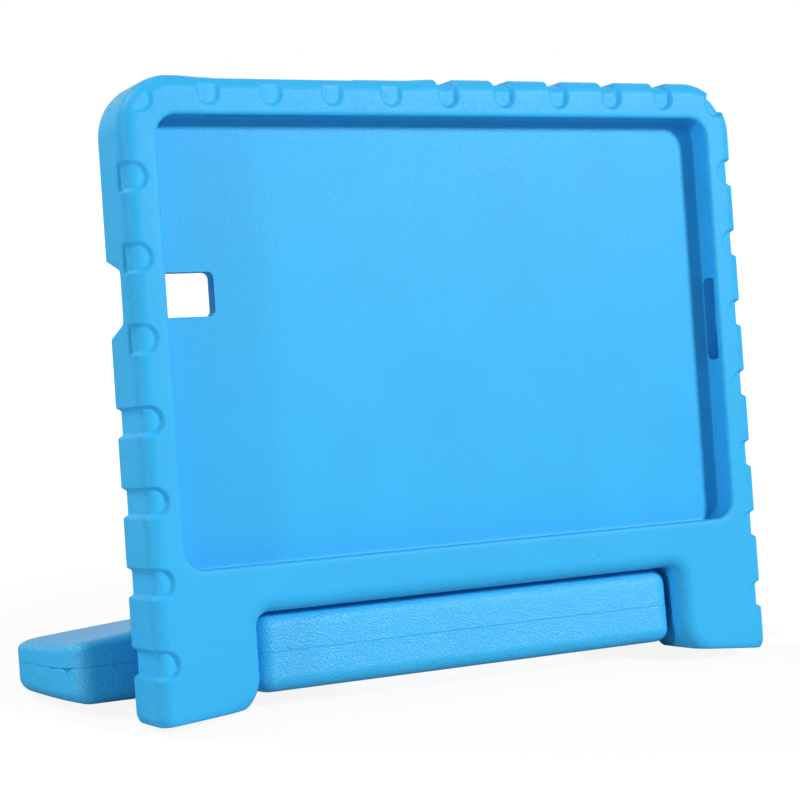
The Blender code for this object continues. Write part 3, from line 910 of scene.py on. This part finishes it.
def stage_material():
    n = Nodes("pale floor")
    path = n.add("ShaderNodeLightPath")
    n.link(n.mix(path.outputs["Is Glossy Ray"], FLOOR_GREY, FLOOR_MIRRORED), "Base Color")
    n.shader.inputs["Roughness"].default_value = 0.9
    n.shader.inputs["Specular IOR Level"].default_value = 0.0
    glow = n.add("ShaderNodeEmission", {"Color": (1.0, 1.0, 1.0, 1.0), "Strength": FLOOR_GLOW})
    far = n.add("ShaderNodeVectorMath", {0: n.where}, operation="LENGTH").outputs["Value"]
    spread = n.add("ShaderNodeMapRange", {"Value": far, **GLOW_SPREAD}).outputs["Result"]
    share = n.maths("MULTIPLY", path.outputs["Is Camera Ray"], spread)
    sockets = {0: share, 1: n.shader.outputs["BSDF"], 2: glow.outputs["Emission"]}
    mix = n.add("ShaderNodeMixShader", sockets)
    n.tree.links.new(mix.outputs[0], n.tree.nodes["Material Output"].inputs["Surface"])
    return n.material


floor_mesh = bpy.data.meshes.new("floor")
corners = [(x * FLOOR_SIZE, y * FLOOR_SIZE, 0) for x, y in ((-1, -1), (1, -1), (1, 1), (-1, 1))]
floor_mesh.from_pydata(corners, [], [(0, 1, 2, 3)])
floor = bpy.data.objects.new("floor", floor_mesh)
bpy.context.scene.collection.objects.link(floor)
floor.location.z = -0.0003
floor_mesh.materials.append(stage_material())

world = bpy.data.worlds.new("world")
bpy.context.scene.world = world
world.use_nodes = True
tree = world.node_tree
tree.nodes.clear()
path = tree.nodes.new("ShaderNodeLightPath")
towards = tree.nodes.new("ShaderNodeTexCoord")
facing = tree.nodes.new("ShaderNodeVectorMath")
facing.operation = "DOT_PRODUCT"
facing.inputs[1].default_value = BACKDROP
tree.links.new(towards.outputs["Generated"], facing.inputs[0])
spread = tree.nodes.new("ShaderNodeMapRange")
for key, value in BACKDROP_SPREAD:
    spread.inputs[key].default_value = value
tree.links.new(facing.outputs["Value"], spread.inputs["Value"])
glossy = tree.nodes.new("ShaderNodeMix")
glossy.inputs["A"].default_value = AMBIENT
tree.links.new(path.outputs["Is Glossy Ray"], glossy.inputs["Factor"])
tree.links.new(spread.outputs["Result"], glossy.inputs["B"])
seen = tree.nodes.new("ShaderNodeMath")
seen.operation = "MAXIMUM"
tree.links.new(glossy.outputs["Result"], seen.inputs[0])
tree.links.new(path.outputs["Is Camera Ray"], seen.inputs[1])
sky = tree.nodes.new("ShaderNodeBackground")
sky.inputs["Color"].default_value = (1.0, 1.0, 1.0, 1.0)
tree.links.new(seen.outputs[0], sky.inputs["Strength"])
out = tree.nodes.new("ShaderNodeOutputWorld")
tree.links.new(sky.outputs[0], out.inputs["Surface"])


def lamp(name, place, aim_z, size, power):
    """A disk lamp that points at the height aim_z over the middle of the floor."""
    data = bpy.data.lights.new(name, "AREA")
    data.shape = "DISK"
    data.size = size
    data.energy = power
    made = bpy.data.objects.new(name, data)
    bpy.context.scene.collection.objects.link(made)
    made.location = place
    made.rotation_mode = "QUATERNION"
    aim = Vector((0.0, 0.0, aim_z)) - Vector(place)
    made.rotation_quaternion = aim.to_track_quat("-Z", "Y")


lamp("key", (2.6, -3.9, 2.3), 0.1, 0.9, 226.0)
lamp("top", (-2.2, 1.8, 3.0), 0.05, 1.4, 78.0)
lamp("strip", (-4.0, -0.9, 0.7), 0.1, 0.3, 58.0)

# Camera, fitted to the case's long edges and to the opening. Its place and its axes (right,
# down and forward, as columns) are in the case's frame.
CAMERA_PLACE = (-380.0990, -691.2035, -35.3829)
CAMERA_AXES = (
    (0.8895, -0.0557, 0.4535),
    (-0.4517, 0.0422, 0.8912),
    (-0.0688, -0.9976, 0.0124),
)
FOCAL_PIXELS = 2033.454
IMAGE_PIXELS = 800
SENSOR = 36.0

cosine, sine = math.cos(LEAN), math.sin(LEAN)
lean = np.array(((1, 0, 0), (0, cosine, sine), (0, -sine, cosine)))
axes = lean @ np.array(CAMERA_AXES)
right = Vector(axes[:, 0]).normalized()
forward = Vector(axes[:, 2])
forward = (forward - right * forward.dot(right)).normalized()
up = right.cross(forward)
turn = Matrix((right, up, -forward)).transposed()
camera_data = bpy.data.cameras.new("camera")
camera_data.sensor_width = SENSOR
camera_data.lens = FOCAL_PIXELS / IMAGE_PIXELS * SENSOR
camera_data.clip_start = 0.05
camera_data.clip_end = 200.0
camera = bpy.data.objects.new("camera", camera_data)
bpy.context.scene.collection.objects.link(camera)
place = Vector(to_world([CAMERA_PLACE])[0])
camera.matrix_world = Matrix.Translation(place) @ turn.to_4x4()
bpy.context.scene.camera = camera
bpy.context.scene.view_settings.view_transform = "Standard"
